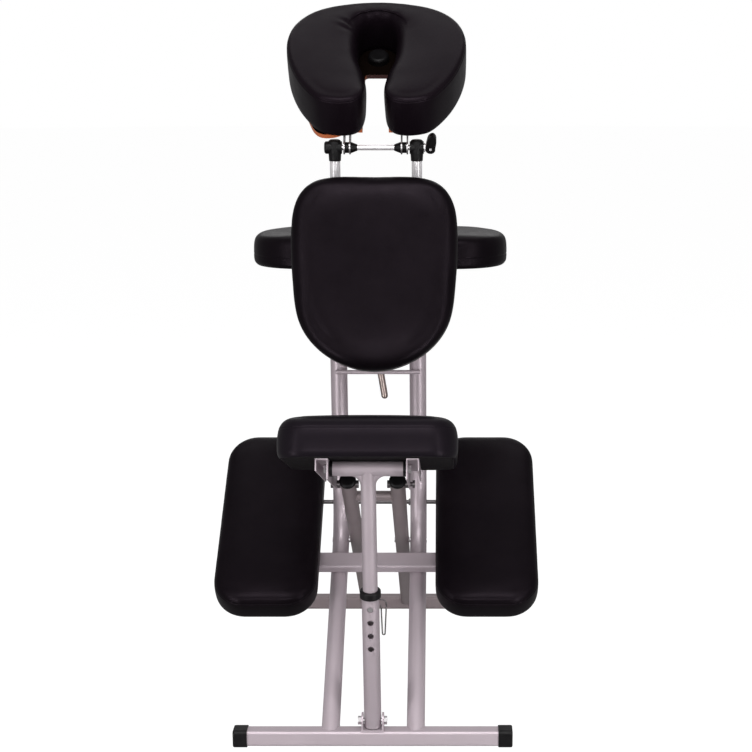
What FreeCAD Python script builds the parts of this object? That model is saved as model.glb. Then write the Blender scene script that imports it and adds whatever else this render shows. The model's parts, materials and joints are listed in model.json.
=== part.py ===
import FreeCAD, Part
import math
import os

os.makedirs("parts", exist_ok=True)
V = FreeCAD.Vector

# ---------------------------------------------------------------- dimensions
# Millimetres. Working y is measured from the rear foot bar, z from the floor;
# everything is moved by -Y_SHIFT at the end so that the origin is the middle
# of the overall box, on the floor. The sitter faces +Y, +X is their right.
Y_SHIFT = 287.3

# base
FOOT_LEN = 490.0          # over the end caps
FOOT_SQ = 28.0            # square tube
FOOT_CAP = 32.0           # slip-on end cap
FOOT_CAP_LEN = 25.0
FOOT_Z = FOOT_CAP / 2
FRONT_FOOT_Y = 690.0

# main rails
RAIL_X = 75.0
RAIL_R = 15.9
RAIL_WALL = 2.0
RAIL_SLOPE = 36.0         # lower run, above horizontal
RAIL_LEAN = 4.0           # upper run leans back
RAIL_BEND_R = 110.0
RAIL_CORNER = (371.1, 285.6)
RAIL_TOP_Z = 945.0

# front leg frame
STRUT_X = 43.5
STRUT_R = 13.5
PIVOT = (341.0, 267.7)    # crossing of rails and struts
PIVOT_R = 5.0
BRACE_FROM_HOOK = 60.0
BRACE_R = 9.0

# seat post
POST_FOOT = (0.0, 46.0)
TEE = (-80.0, 523.0)
LOWER_R, LOWER_RI = 15.0, 12.75
UPPER_R, UPPER_RI = 12.7, 10.6
TEE_R = 12.2
TEE_HALF = 58.0
LOWER_LEN = 250.0
HOLE_S = (227.5, 202.1, 176.7, 151.3)
HOLE_R = 5.4
PIN_R = 4.4

# seat
SEAT_TILT = -20.0
SEAT_W, SEAT_A0, SEAT_A1 = 296.0, -66.0, 196.0
SEAT_BASE = 14.0          # board underside above the tee axis
SEAT_BOARD = 12.0
SEAT_PAD = 58.0
CH_X0, CH_X1, CH_WALL = 63.5, 84.5, 2.0
CH_LOW = -20.0
HOOK = (183.0, -11.0)     # strut pin in the seat frame
HOOK_R = 4.0
FOLD_MAX, FLIP_MAX, SWING_MAX = 45.0, 95.0, 5.0

# knee rests (frame of the rails' lower run)
KNEE_X, KNEE_W = 204.0, 190.0
KNEE_S0, KNEE_S1 = 220.0, 618.0
KNEE_BAR_S, KNEE_BAR_N = 354.5, 25.3
KNEE_BAR_W, KNEE_BAR_H = 35.0, 20.0
KNEE_BASE = 35.3
KNEE_BOARD = 12.0
KNEE_PAD = 48.0
KNEE_ROD = (385.5, 331.0)
KNEE_ROD_R = 4.0

# chest rest
CHEST_C = (184.0, 808.5)  # middle of the front face
CHEST_ANG = 74.8
CHEST_PAD, CHEST_BOARD = 50.0, 12.0
CHEST_HINGE = (296.1, 925.0)
STAY_R0, STAY_R1 = 278.0, 302.0
LOCK_ROD = (329.6, 602.0)   # welded across the backs of the rails
LEVER_Z = 612.0

# arm rest
ARM_ROD = (368.0, 770.0)
ARM_Z = 789.0
ARM_Y0, ARM_Y1, ARM_W = 375.0, 590.0, 495.0
ARM_BOARD, ARM_PAD = 12.0, 54.0

# face cradle
UP_R, UP_RI = 9.5, 8.0
CLAMP = (319.5, 1023.0)
CLAMP_R = 5.0
CRADLE_ANG = 37.0
CRADLE_O = (310.0, 1042.0)
CRADLE_BOARD, FACE_PAD = 9.0, 85.0

RUN = 0.05                # running clearance, radial


# ------------------------------------------------------------------- helpers
def cs(deg):
    a = math.radians(deg)
    return math.cos(a), math.sin(a)


def cyl(p, q, r):
    d = q.sub(p)
    return Part.makeCylinder(r, d.Length, p, d)


def cylx(x0, x1, y, z, r):
    return Part.makeCylinder(r, x1 - x0, V(x0, y, z), V(1, 0, 0))


def box(x0, x1, y0, y1, z0, z1):
    return Part.makeBox(x1 - x0, y1 - y0, z1 - z0, V(x0, y0, z0))


def prism(pts, x0, x1):
    w = Part.makePolygon([V(x0, y, z) for y, z in pts + [pts[0]]])
    return Part.Face(w).extrude(V(x1 - x0, 0, 0))


def hexx(x0, x1, y, z, across):
    r = across / math.sqrt(3)
    return prism([(y + r * cs(60 * k)[0], z + r * cs(60 * k)[1]) for k in range(6)], x0, x1)


def turn(shape, deg, oy, oz):
    s = shape.copy()
    s.rotate(V(0, 0, 0), V(1, 0, 0), deg)
    s.translate(V(0, oy, oz))
    return s


def mirror(shape):
    return shape.mirror(V(0, 0, 0), V(1, 0, 0))


def outline(pts, z0, z1):
    c = Part.BSplineCurve()
    c.interpolate([V(x, y, 0) for x, y in pts], PeriodicFlag=True)
    f = Part.Face(Part.Wire([c.toShape()]))
    f.translate(V(0, 0, z0))
    return f.extrude(V(0, 0, z1 - z0))


def slab(x0, x1, y0, y1, z0, z1, rc, rt, rb):
    s = box(x0, x1, y0, y1, z0, z1)
    up = [e for e in s.Edges if abs(e.Vertexes[0].Z - e.Vertexes[-1].Z) > 1]
    s = s.makeFillet(rc, up)
    if rt:
        s = s.makeFillet(rt, [e for e in s.Edges if all(abs(v.Z - z1) < 1e-6 for v in e.Vertexes)])
    if rb:
        s = s.makeFillet(rb, [e for e in s.Edges if all(abs(v.Z - z0) < 1e-6 for v in e.Vertexes)])
    return s


def one(shape):
    s = shape.removeSplitter()
    return s.Solids[0] if len(s.Solids) == 1 else s


PARTS = {}


def add(name, *shapes):
    out = []
    for s in shapes:
        s = s.removeSplitter()
        out.extend(s.Solids)
    PARTS[name] = out


# --------------------------------------------------------------------- rails
c36, s36 = cs(RAIL_SLOPE)
cl, sl = cs(90 + RAIL_LEAN)
bend = RAIL_BEND_R * math.tan(math.radians((90 + RAIL_LEAN - RAIL_SLOPE) / 2))
B0 = (RAIL_CORNER[0] - bend * c36, RAIL_CORNER[1] - bend * s36)
B1 = (RAIL_CORNER[0] + bend * cl, RAIL_CORNER[1] + bend * sl)
BC = (B0[0] - RAIL_BEND_R * s36, B0[1] + RAIL_BEND_R * c36)


def rail_y(z):
    return B1[0] + (z - B1[1]) * cl / sl


def pipe(x, r, extra=0.0):
    start = V(x, B0[0] - 405 * c36, B0[1] - 405 * s36)
    p0, p1 = V(x, *B0), V(x, *B1)
    mid = math.radians((RAIL_SLOPE - 90 + RAIL_LEAN) / 2)
    pm = V(x, BC[0] + RAIL_BEND_R * math.cos(mid), BC[1] + RAIL_BEND_R * math.sin(mid))
    top = V(x, rail_y(RAIL_TOP_Z) + extra * cl, RAIL_TOP_Z + extra * sl)
    path = Part.Wire([Part.makeLine(start, p0), Part.Arc(p0, pm, p1).toShape(), Part.makeLine(p1, top)])
    ring = Part.Wire([Part.makeCircle(r, start, V(0, c36, s36))])
    return path.makePipeShell([ring], True, False)


def solid(s):
    return s if s.ShapeType == "Solid" else Part.Solid(s) if s.ShapeType == "Shell" else s.Solids[0]


def foot(y):
    b = box(-FOOT_LEN / 2 + 4, FOOT_LEN / 2 - 4, y - FOOT_SQ / 2, y + FOOT_SQ / 2,
            FOOT_Z - FOOT_SQ / 2, FOOT_Z + FOOT_SQ / 2)
    b = b.makeFillet(5, [e for e in b.Edges if abs(e.Vertexes[0].X - e.Vertexes[-1].X) > 1])
    i = box(-FOOT_LEN, FOOT_LEN, y - FOOT_SQ / 2 + 2, y + FOOT_SQ / 2 - 2,
            FOOT_Z - FOOT_SQ / 2 + 2, FOOT_Z + FOOT_SQ / 2 - 2)
    i = i.makeFillet(3, [e for e in i.Edges if abs(e.Vertexes[0].X - e.Vertexes[-1].X) > 1])
    return b, b.cut(i)


def caps(y, bar):
    h = FOOT_CAP / 2
    c = box(FOOT_LEN / 2 - FOOT_CAP_LEN, FOOT_LEN / 2, y - h, y + h, 0, FOOT_CAP)
    c = c.makeFillet(6, [e for e in c.Edges if abs(e.Vertexes[0].X - e.Vertexes[-1].X) > 1])
    c = c.makeFillet(3, [e for e in c.Edges if all(abs(v.X - FOOT_LEN / 2) < 1e-6 for v in e.Vertexes)])
    c = c.cut(bar)
    return c, mirror(c)


rear_block, rear_bar = foot(0.0)
front_block, front_bar = foot(FRONT_FOOT_Y)
add("rear_foot_bar", rear_bar)
add("rear_foot_caps", *caps(0.0, rear_block))

rail_out = solid(pipe(RAIL_X, RAIL_R))
rail_in = solid(pipe(RAIL_X, RAIL_R - RAIL_WALL, 5.0))
rail = rail_out.cut(rail_in).cut(rear_block)
below = box(-300, 300, -200, 60, -200, FOOT_Z)
rail = rail.cut(below)
rail = max(rail.Solids, key=lambda s: s.Volume)

# holes: crossing bolt, clamp knob (front wall)
rail = rail.cut(cylx(50, 100, PIVOT[0], PIVOT[1], PIVOT_R))
KNOB_Z = 925.0
KNOB = V(RAIL_X, rail_y(KNOB_Z), KNOB_Z)
KDIR = V(0, sl, -cl)
rail = rail.cut(cyl(KNOB, KNOB.add(V(KDIR).multiply(30)), 3.0 + RUN))
add("main_rail_right", rail)
add("main_rail_left", mirror(rail))

W = V(0, cl, sl)
TOP = V(RAIL_X, rail_y(RAIL_TOP_Z), RAIL_TOP_Z)


def along(d):
    return TOP.add(V(W).multiply(d))


bush = cyl(along(-42), along(0), RAIL_R - RAIL_WALL).fuse(cyl(along(0), along(6), 16.6))
bush = bush.cut(cyl(along(-50), along(10), UP_R + RUN))
bush = bush.cut(cyl(KNOB, KNOB.add(V(KDIR).multiply(30)), 3.0 + RUN))
add("rail_top_bushes", bush, mirror(bush))


# ---------------------------------------------------------------- knee rests
def knee(shape):
    return turn(shape, RAIL_SLOPE, 0.0, FOOT_Z)


def knee_pt(s, n):
    return (s * c36 - n * s36, FOOT_Z + s * s36 + n * c36)


kb = box(-262, 262, KNEE_BAR_S - KNEE_BAR_W / 2, KNEE_BAR_S + KNEE_BAR_W / 2,
         KNEE_BAR_N - KNEE_BAR_H / 2, KNEE_BAR_N + KNEE_BAR_H / 2)
kb = kb.makeFillet(4, [e for e in kb.Edges if abs(e.Vertexes[0].X - e.Vertexes[-1].X) > 1])
kb = knee(kb).cut(rail_out).cut(mirror(rail_out))
screw = []
for sx in (-1, 1):
    for dx in (-45, 45):
        x = sx * KNEE_X + dx
        sh = Part.makeCylinder(3, 32, V(x, KNEE_BAR_S, KNEE_BAR_N - KNEE_BAR_H / 2), V(0, 0, 1))
        hd = Part.makeCylinder(6.5, 4, V(x, KNEE_BAR_S, KNEE_BAR_N - KNEE_BAR_H / 2 - 4), V(0, 0, 1))
        screw.append(knee(sh.fuse(hd)))
for s in screw:
    kb = kb.cut(s)
add("knee_cross_bar", kb)
add("knee_pad_screws", *screw)
krod = cylx(-262, 262, KNEE_ROD[0], KNEE_ROD[1], KNEE_ROD_R)
for x0, x1 in ((-58.5, -55.5), (55.5, 58.5)):
    krod = krod.fuse(cylx(x0, x1, KNEE_ROD[0], KNEE_ROD[1], 6.5))
add("knee_support_rod", krod.cut(rail_out).cut(mirror(rail_out)))

rod_s = KNEE_ROD[0] * c36 + (KNEE_ROD[1] - FOOT_Z) * s36
rod_n = -KNEE_ROD[0] * s36 + (KNEE_ROD[1] - FOOT_Z) * c36
clips = []
for x in (-KNEE_X - 52, -KNEE_X + 52, KNEE_X - 52, KNEE_X + 52):
    c = box(x - 9, x + 9, rod_s - 12, rod_s + 12, rod_n, KNEE_BASE)
    c = c.fuse(Part.makeCylinder(7, 18, V(x - 9, rod_s, rod_n), V(1, 0, 0)))
    clips.append(knee(c).cut(cylx(-300, 300, KNEE_ROD[0], KNEE_ROD[1], KNEE_ROD_R)))
add("knee_rod_clips", *clips)

for side, sx in (("right", 1), ("left", -1)):
    x = sx * KNEE_X
    b = slab(x - KNEE_W / 2 + 8, x + KNEE_W / 2 - 8, KNEE_S0 + 8, KNEE_S1 - 8,
             KNEE_BASE, KNEE_BASE + KNEE_BOARD, 50, 0, 0)
    b = knee(b)
    for s in screw:
        b = b.cut(s)
    add("knee_board_" + side, b)
    p = slab(x - KNEE_W / 2, x + KNEE_W / 2, KNEE_S0, KNEE_S1,
             KNEE_BASE + KNEE_BOARD, KNEE_BASE + KNEE_BOARD + KNEE_PAD, 58, 16, 5)
    add("knee_cushion_" + side, knee(p))

# ----------------------------------------------------------- front leg frame
ch, sh_ = cs(SEAT_TILT)


def seat_pt(a, m):
    return (TEE[0] + a * ch - m * sh_, TEE[1] + a * sh_ + m * ch)


R = seat_pt(*HOOK)
F = (FRONT_FOOT_Y, FOOT_Z)
L = math.hypot(F[0] - R[0], F[1] - R[1])
SD = V(0, (R[0] - F[0]) / L, (R[1] - F[1]) / L)      # up the strut


def on_strut(d, x=STRUT_X):
    return V(x, R[0], R[1]).add(V(SD).multiply(d))


strut = cyl(on_strut(-L), on_strut(17), STRUT_R).cut(cyl(on_strut(-L), on_strut(20), STRUT_R - 2))
strut = strut.cut(front_block).cut(box(0, 100, FRONT_FOOT_Y - 30, FRONT_FOOT_Y + 60, -60, FOOT_Z))
strut = max(strut.Solids, key=lambda s: s.Volume)
strut = strut.cut(cylx(20, 70, PIVOT[0], PIVOT[1], PIVOT_R + RUN))
pin = cylx(29, 74, R[0], R[1], HOOK_R)
pin = pin.fuse(cylx(57.2, 62.9, R[0], R[1], 7.0)).fuse(cylx(69.5, 74, R[0], R[1], 7.0))
pin = pin.fuse(cylx(25, 30.2, R[0], R[1], 7.0)).cut(cyl(on_strut(-40), on_strut(14), STRUT_R)
                                                    .cut(cylx(0, 100, R[0], R[1], HOOK_R)))
strut = strut.cut(cylx(20, 70, R[0], R[1], HOOK_R))
cap = cyl(on_strut(15.5), on_strut(22), 15.0)
cap = cap.makeFillet(6, [e for e in cap.Edges if e.CenterOfMass.sub(on_strut(22)).Length < 1])
cap = cap.cut(cyl(on_strut(0), on_strut(17), STRUT_R))
brace_c = on_strut(-BRACE_FROM_HOOK)
brace = cylx(-STRUT_X, STRUT_X, brace_c.y, brace_c.z, BRACE_R)
for s in (cyl(on_strut(-200), on_strut(14), STRUT_R),):
    brace = brace.cut(s).cut(mirror(s))
brace = [s for s in brace.Solids if abs(s.CenterOfMass.x) < 1][0]
add("front_strut_right", strut)
add("front_strut_left", mirror(strut))
add("strut_end_caps", cap, mirror(cap))
add("strut_hook_pins", pin, mirror(pin))
add("strut_brace", brace)
add("front_foot_bar", front_bar)
add("front_foot_caps", *caps(FRONT_FOOT_Y, front_block))

bolt = cylx(28.6, 91.4, PIVOT[0], PIVOT[1], PIVOT_R)
add("frame_pivot_bolts", bolt, mirror(bolt))

# ---------------------------------------------------------------------- post
PL = math.hypot(TEE[0] - POST_FOOT[0], TEE[1] - POST_FOOT[1])
PA = V(0, (TEE[0] - POST_FOOT[0]) / PL, (TEE[1] - POST_FOOT[1]) / PL)
PP = V(0, PA.z, -PA.y)                                # square to it, forward


def on_post(s, p=0.0, x=0.0):
    return V(x, POST_FOOT[0], POST_FOOT[1]).add(V(PA).multiply(s)).add(V(PP).multiply(p))


lower = cyl(on_post(-9), on_post(LOWER_LEN), LOWER_R).cut(cyl(on_post(-20), on_post(300), LOWER_RI))
lower = lower.cut(cylx(-40, 40, POST_FOOT[0], POST_FOOT[1], 4.0 + RUN))
for s in HOLE_S:                                       # wide in the rear wall, a fit in the front wall
    lower = lower.cut(cyl(on_post(s, -30), on_post(s), HOLE_R))
    lower = lower.cut(cyl(on_post(s), on_post(s, 30), PIN_R + RUN))
add("lower_post_tube", lower)

collar = cyl(on_post(LOWER_LEN - 4), on_post(LOWER_LEN + 9), 18.0)
collar = collar.makeFillet(3, [e for e in collar.Edges if e.CenterOfMass.sub(on_post(LOWER_LEN + 9)).Length < 1])
collar = collar.cut(cyl(on_post(LOWER_LEN - 20), on_post(LOWER_LEN), LOWER_R))
collar = collar.cut(cyl(on_post(LOWER_LEN - 20), on_post(LOWER_LEN + 20), UPPER_R + 0.02))
add("post_collar", collar)

tee = cyl(on_post(208.5), on_post(PL), UPPER_R)
tee = tee.fuse(cylx(-TEE_HALF, TEE_HALF, TEE[0], TEE[1], TEE_R))
for sx in (-1, 1):                                     # rounded corner beads
    c = on_post(PL - TEE_R - 18, 0, sx * (UPPER_R + 18))
    bead = Part.makeTorus(26, 8, c, PP)
    far = on_post(PL - TEE_R - 18 + 45, 0, sx * (UPPER_R + 18 - 45))
    quarter = Part.Face(Part.makePolygon([c, V(far.x, c.y, c.z), far, V(c.x, far.y, far.z), c]))
    quarter.translate(V(PP).multiply(-20))
    tee = tee.fuse(bead.common(quarter.extrude(V(PP).multiply(40))))
tee = tee.cut(cyl(on_post(100), on_post(PL - 20), UPPER_RI))
tee = tee.cut(cylx(-80, 80, TEE[0], TEE[1], TEE_R - 2.2))
tee = tee.cut(cyl(on_post(HOLE_S[0], -30), on_post(HOLE_S[0], 30), PIN_R + RUN))
add("seat_post_tee", one(tee))

tb = cylx(TEE_HALF, 63.2, TEE[0], TEE[1], 13.0).fuse(cylx(TEE_HALF - 14, TEE_HALF, TEE[0], TEE[1], TEE_R - 2.2))
tb = tb.cut(cylx(0, 80, TEE[0], TEE[1], 4.0))
add("tee_bushes", tb, mirror(tb))
tbolt = cylx(-69, 69, TEE[0], TEE[1], 4.0)
tbolt = tbolt.fuse(hexx(65.8, 71.3, TEE[0], TEE[1], 13)).fuse(hexx(-72.3, -65.8, TEE[0], TEE[1], 13))
add("seat_pivot_bolt", tbolt)

# post foot
fb = box(-19.5, 19.5, -14, 14, FOOT_Z + FOOT_SQ / 2, FOOT_Z + FOOT_SQ / 2 + 3)
for sx in (-1, 1):
    x0, x1 = sorted((sx * 16.5, sx * 19.5))
    fb = fb.fuse(box(x0, x1, -14, 14, FOOT_Z + FOOT_SQ / 2, POST_FOOT[1]))
    fb = fb.fuse(cylx(x0, x1, POST_FOOT[0], POST_FOOT[1], 14))
fb = fb.cut(cylx(-40, 40, POST_FOOT[0], POST_FOOT[1], 4.0))
add("post_foot_bracket", one(fb))
qb = cylx(-24, 24, POST_FOOT[0], POST_FOOT[1], 4.0)
qb = qb.fuse(hexx(19.6, 25, POST_FOOT[0], POST_FOOT[1], 13)).fuse(hexx(-26, -19.6, POST_FOOT[0], POST_FOOT[1], 13))
add("post_pivot_bolt", qb)

# lock pin and its wire bail
S0 = HOLE_S[0]
pinb = cyl(on_post(S0, -13.8), on_post(S0, 18), PIN_R).fuse(cyl(on_post(S0, 15.5), on_post(S0, 28), 8.0))
pinb = pinb.makeFillet(1.5, [e for e in pinb.Edges if e.CenterOfMass.sub(on_post(S0, 28)).Length < 0.5])
BAIL_P = 22.5
pinb = pinb.cut(cyl(on_post(S0, BAIL_P, -20), on_post(S0, BAIL_P, 20), 1.3))
add("post_lock_pin", pinb)
bail_pts = [on_post(S0, BAIL_P, -10.5), on_post(S0, BAIL_P, 11.5)]


def bail_pt(x, s):
    return on_post(S0, BAIL_P, x).add(V(0, 0, s))


# out from the head, down, round a narrow hairpin, up again and bent in
bends = [((18.0, 0.0), (23.79, -2.48), (25.99, -8.39)), ((23.42, -61.33), (21.108, -63.52), (18.82, -61.31)),
         ((17.0, -14.34), (16.45, -12.06), (15.08, -10.17))]
path, last = [], bail_pt(11.5, 0)
for p, q, r in bends:
    path += [Part.makeLine(last, bail_pt(*p)), Part.Arc(bail_pt(*p), bail_pt(*q), bail_pt(*r)).toShape()]
    last = bail_pt(*r)
ring = Part.Wire([Part.makeCircle(1.25, bail_pt(11.5, 0), V(1, 0, 0))])
bail = solid(Part.Wire(path).makePipeShell([ring], True, False))
bail = bail.fuse(cyl(bail_pts[0], bail_pts[1], 1.25))
bail = bail.fuse(Part.makeSphere(2.2, on_post(S0, BAIL_P, -10.8)))
add("pin_bail_wire", one(bail))


# ---------------------------------------------------------------------- seat
def seat(shape):
    return turn(shape, SEAT_TILT, TEE[0], TEE[1])


chan = box(CH_X0, CH_X1, -34, 192, CH_LOW, SEAT_BASE)
chan = chan.cut(box(CH_X0 + CH_WALL, CH_X1 - CH_WALL, -50, 250, CH_LOW - 10, SEAT_BASE - CH_WALL))
chan = chan.cut(box(CH_X1 - CH_WALL, CH_X1 + 5, -50, 250, CH_LOW - 5, SEAT_BASE - 20))   # low outer lip
chan = chan.cut(cylx(CH_X0 - 5, CH_X0 + 5, 0, 0, 4.0 + RUN))


def hook_path(t):
    """Strut pin in the seat frame, t of the way through the fold."""
    g = -math.radians(FOLD_MAX * t)
    y, z = R[0] - PIVOT[0], R[1] - PIVOT[1]
    py = PIVOT[0] + y * math.cos(g) - z * math.sin(g)
    pz = PIVOT[1] + y * math.sin(g) + z * math.cos(g)
    w = -math.radians(SWING_MAX * t)
    y, z = TEE[0] - POST_FOOT[0], TEE[1] - POST_FOOT[1]
    ty = POST_FOOT[0] + y * math.cos(w) - z * math.sin(w)
    tz = POST_FOOT[1] + y * math.sin(w) + z * math.cos(w)
    b = -math.radians(SEAT_TILT + (FLIP_MAX - SWING_MAX) * t)
    y, z = py - ty, pz - tz
    return y * math.cos(b) - z * math.sin(b), y * math.sin(b) + z * math.cos(b)


prev = hook_path(0.0)
slot_r = HOOK_R + 0.35
cut = cylx(CH_X0 - 5, CH_X0 + 5, prev[0], prev[1], slot_r)
for k in range(1, 13):
    p = hook_path(k * 0.03)
    dx, dz = p[0] - prev[0], p[1] - prev[1]
    d = math.hypot(dx, dz)
    nx, nz = -dz / d * slot_r, dx / d * slot_r
    cut = cut.fuse(prism([(prev[0] + nx, prev[1] + nz), (p[0] + nx, p[1] + nz),
                          (p[0] - nx, p[1] - nz), (prev[0] - nx, prev[1] - nz)], CH_X0 - 5, CH_X0 + 5))
    cut = cut.fuse(cylx(CH_X0 - 5, CH_X0 + 5, p[0], p[1], slot_r))
    prev = p
chan = max(chan.cut(cut).Solids, key=lambda s: s.Volume)
chan = seat(chan)
add("seat_channel_right", chan)
add("seat_channel_left", mirror(chan))
add("seat_board", seat(slab(-SEAT_W / 2 + 8, SEAT_W / 2 - 8, SEAT_A0 + 8, SEAT_A1 - 8,
                            SEAT_BASE, SEAT_BASE + SEAT_BOARD, 40, 0, 0)))
add("seat_cushion", seat(slab(-SEAT_W / 2, SEAT_W / 2, SEAT_A0, SEAT_A1, SEAT_BASE + SEAT_BOARD,
                              SEAT_BASE + SEAT_BOARD + SEAT_PAD, 48, 18, 6)))


# --------------------------------------------------------------------- chest
def chest(shape):
    return turn(shape, CHEST_ANG, CHEST_C[0], CHEST_C[1])


half = [(80, 177), (112, 168), (132, 150), (144.5, 122), (149, 84), (149, 35), (145, -22), (133, -86), (105, -127), (67, -154)]
shield = [(0, 178)] + half + [(0, -171)] + [(-x, y) for x, y in reversed(half)]
add("chest_cushion", chest(outline(shield, -CHEST_PAD, 0)))
inner = [(x * 0.94, y * 0.945) for x, y in shield]
add("chest_board", chest(outline(inner, -CHEST_PAD - CHEST_BOARD, -CHEST_PAD)))

hy, hz = CHEST_HINGE
lugs = []
for x in (-45, 45):
    b = chest(box(x - 11, x + 11, 126, 158, -CHEST_PAD - CHEST_BOARD - 16, -CHEST_PAD - CHEST_BOARD))
    b = b.fuse(cylx(x - 11, x + 11, hy, hz, 11))
    keep = chest(box(-200, 200, -200, 200, -CHEST_PAD - CHEST_BOARD, 50))
    lugs.append(b.cut(keep).cut(cylx(-100, 100, hy, hz, 5.0 + RUN)))
add("chest_hinge_lugs", *lugs)
add("chest_hinge_rod", cylx(-92, 92, hy, hz, 5.0))
brk = []
yr = rail_y(hz)
b = cylx(64, 86, hy, hz, 10).fuse(prism([(hy, hz - 10), (yr, hz - 10), (yr, hz + 10), (hy, hz + 10)], 64, 86))
b = b.cut(rail_out).cut(rail_in).cut(cylx(0, 100, hy, hz, 5.0))
b = max(b.Solids, key=lambda s: s.Volume)
add("chest_hinge_brackets", b, mirror(b))

# curved stay through the clamp block
lo, hi = -30.0, 27.0
wedge = [(hy, hz)] + [(hy + 420 * math.sin(math.radians(a)), hz - 420 * math.cos(math.radians(a)))
                      for a in (lo, 0, hi)]
stay = cylx(-2, 2, hy, hz, STAY_R1).cut(cylx(-5, 5, hy, hz, STAY_R0)).common(prism(wedge, -10, 10))
back = chest(box(-200, 200, -260, 260, -CHEST_PAD - CHEST_BOARD, 400))
stay = stay.cut(back)
stay = max(stay.Solids, key=lambda s: s.Volume)
fl = chest(box(-16, 16, -157, -112, -CHEST_PAD - CHEST_BOARD - 4, -CHEST_PAD - CHEST_BOARD))
add("chest_stay", one(stay.fuse(fl)))

add("chest_lock_rod", cylx(-80, 80, LOCK_ROD[0], LOCK_ROD[1], 4.0).cut(rail_out).cut(mirror(rail_out)))
blk = box(-20, 20, 330, 367, 599.5, 664)
blk = blk.makeFillet(4, [e for e in blk.Edges if abs(e.Vertexes[0].Z - e.Vertexes[-1].Z) > 1])
blk = blk.cut(cylx(-30, 30, *LOCK_ROD, 4.0))
blk = blk.cut(cylx(-2.4, 2.4, hy, hz, STAY_R1 + 0.4).cut(cylx(-5, 5, hy, hz, STAY_R0 - 0.4)))
blk = blk.cut(cyl(V(0, 352.6, LEVER_Z), V(0, 370, LEVER_Z), 4.0 + RUN))
blk = max(blk.Solids, key=lambda s: s.Volume)
add("chest_clamp_block", blk)
cz, sz = cs(9)
lev = cyl(V(0, 367.4, LEVER_Z), V(0, 382, LEVER_Z), 10)
lev = lev.fuse(cyl(V(0, 353, LEVER_Z), V(0, 370, LEVER_Z), 4.0))
tip = V(66 * sz, 376.0, LEVER_Z - 66 * cz)
grip = cyl(V(0, 376.0, LEVER_Z), tip, 6.5)
lev = lev.fuse(grip).fuse(Part.makeSphere(6.5, tip))
add("chest_lock_lever", one(lev))

# ---------------------------------------------------------------------- arms
ay, az = ARM_ROD
yr = rail_y(az)
b = cylx(64, 86, ay, az, 10).fuse(prism([(ay, az - 10), (yr, az - 10), (yr, az + 10), (ay, az + 10)], 64, 86))
b = b.cut(rail_out).cut(rail_in).cut(cylx(0, 100, ay, az, 5.0))
b = max(b.Solids, key=lambda s: s.CenterOfMass.y)
add("arm_rail_brackets", b, mirror(b))
add("arm_hinge_rod", cylx(-92, 92, ay, az, 5.0))
pl = prism([(ay - 6, az - 10), (ay + 20, az - 10), (520, ARM_Z - 12), (525, ARM_Z), (390, ARM_Z),
            (ay - 6, az + 10)], 40, 45).fuse(cylx(40, 45, ay, az, 11.6))
pl = pl.fuse(box(40, 60, 395, 520, ARM_Z - 4, ARM_Z)).cut(cylx(0, 100, ay, az, 5.0 + RUN))
pl = one(pl)
add("arm_support_plates", pl, mirror(pl))
w2 = ARM_W / 2
arm_half = [(60, ARM_Y0 + 1), (130, ARM_Y0 + 7), (195, ARM_Y0 + 22), (234, ARM_Y0 + 58), (w2, ARM_Y0 + 110),
            (235, ARM_Y0 + 164), (200, ARM_Y0 + 198), (145, ARM_Y0 + 211), (70, ARM_Y1)]
arm = [(0, ARM_Y0)] + arm_half + [(0, ARM_Y1)] + [(-x, y) for x, y in reversed(arm_half)]
add("arm_cushion", outline(arm, ARM_Z + ARM_BOARD, ARM_Z + ARM_BOARD + ARM_PAD))
ym = (ARM_Y0 + ARM_Y1) / 2
add("arm_board", outline([(x * 0.95, ym + (y - ym) * 0.88) for x, y in arm], ARM_Z, ARM_Z + ARM_BOARD))

# --------------------------------------------------------------- face cradle
CY, CZ = CLAMP
base = V(RAIL_X, CY, CZ)
up = cyl(along(-130), base.add(V(W).multiply(-12)), UP_R).cut(cyl(along(-140), base.add(V(W).multiply(9)), UP_RI))
add("cradle_upright_right", up)
add("cradle_upright_left", mirror(up))
top = base.add(V(W).multiply(15))
sleeve = cyl(base.add(V(W).multiply(-7)), top, 12.0)
sleeve = sleeve.makeFillet(6, [e for e in sleeve.Edges if e.CenterOfMass.sub(top).Length < 0.5])
sleeve = sleeve.fuse(Part.makeCone(10.9, 12.0, 17, base.add(V(W).multiply(-24)), W))
blind = cylx(62, 94, CY, CZ, 11.5)
blind = blind.makeFillet(4, [e for e in blind.Edges if e.CenterOfMass.x > 93.9])
fits = []
for barrel, end in ((cylx(62, 87.8, CY, CZ, 11.5), 100), (blind, 90.2)):     # the left one is closed
    fit = barrel.fuse(sleeve).cut(cyl(base.add(V(W).multiply(-40)), base.add(V(W).multiply(-11.9)), UP_R))
    fit = fit.cut(cylx(0, end, CY, CZ, CLAMP_R))
    fits.append(max(fit.Solids, key=lambda s: s.Volume))
add("cradle_tee_fittings", fits[0], mirror(fits[1]))

# clamp rod with a cross pin for the cam lever
cam = cs(30)
LD = V(0, -cam[1], cam[0])
KD = V(0, cam[0], cam[1])
PX = 100.0
hub = V(PX, CY, CZ)


def lever_box(x0, x1, l0, l1, k0, k1):
    s = box(x0 - PX, x1 - PX, k0, k1, l0, l1)
    s.rotate(V(0, 0, 0), V(1, 0, 0), 30)
    s.translate(hub)
    return s


def kcyl(x, l, r, k0, k1):
    o = V(x, CY, CZ).add(V(LD).multiply(l))
    return cyl(o.add(V(KD).multiply(k0)), o.add(V(KD).multiply(k1)), r)


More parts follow.
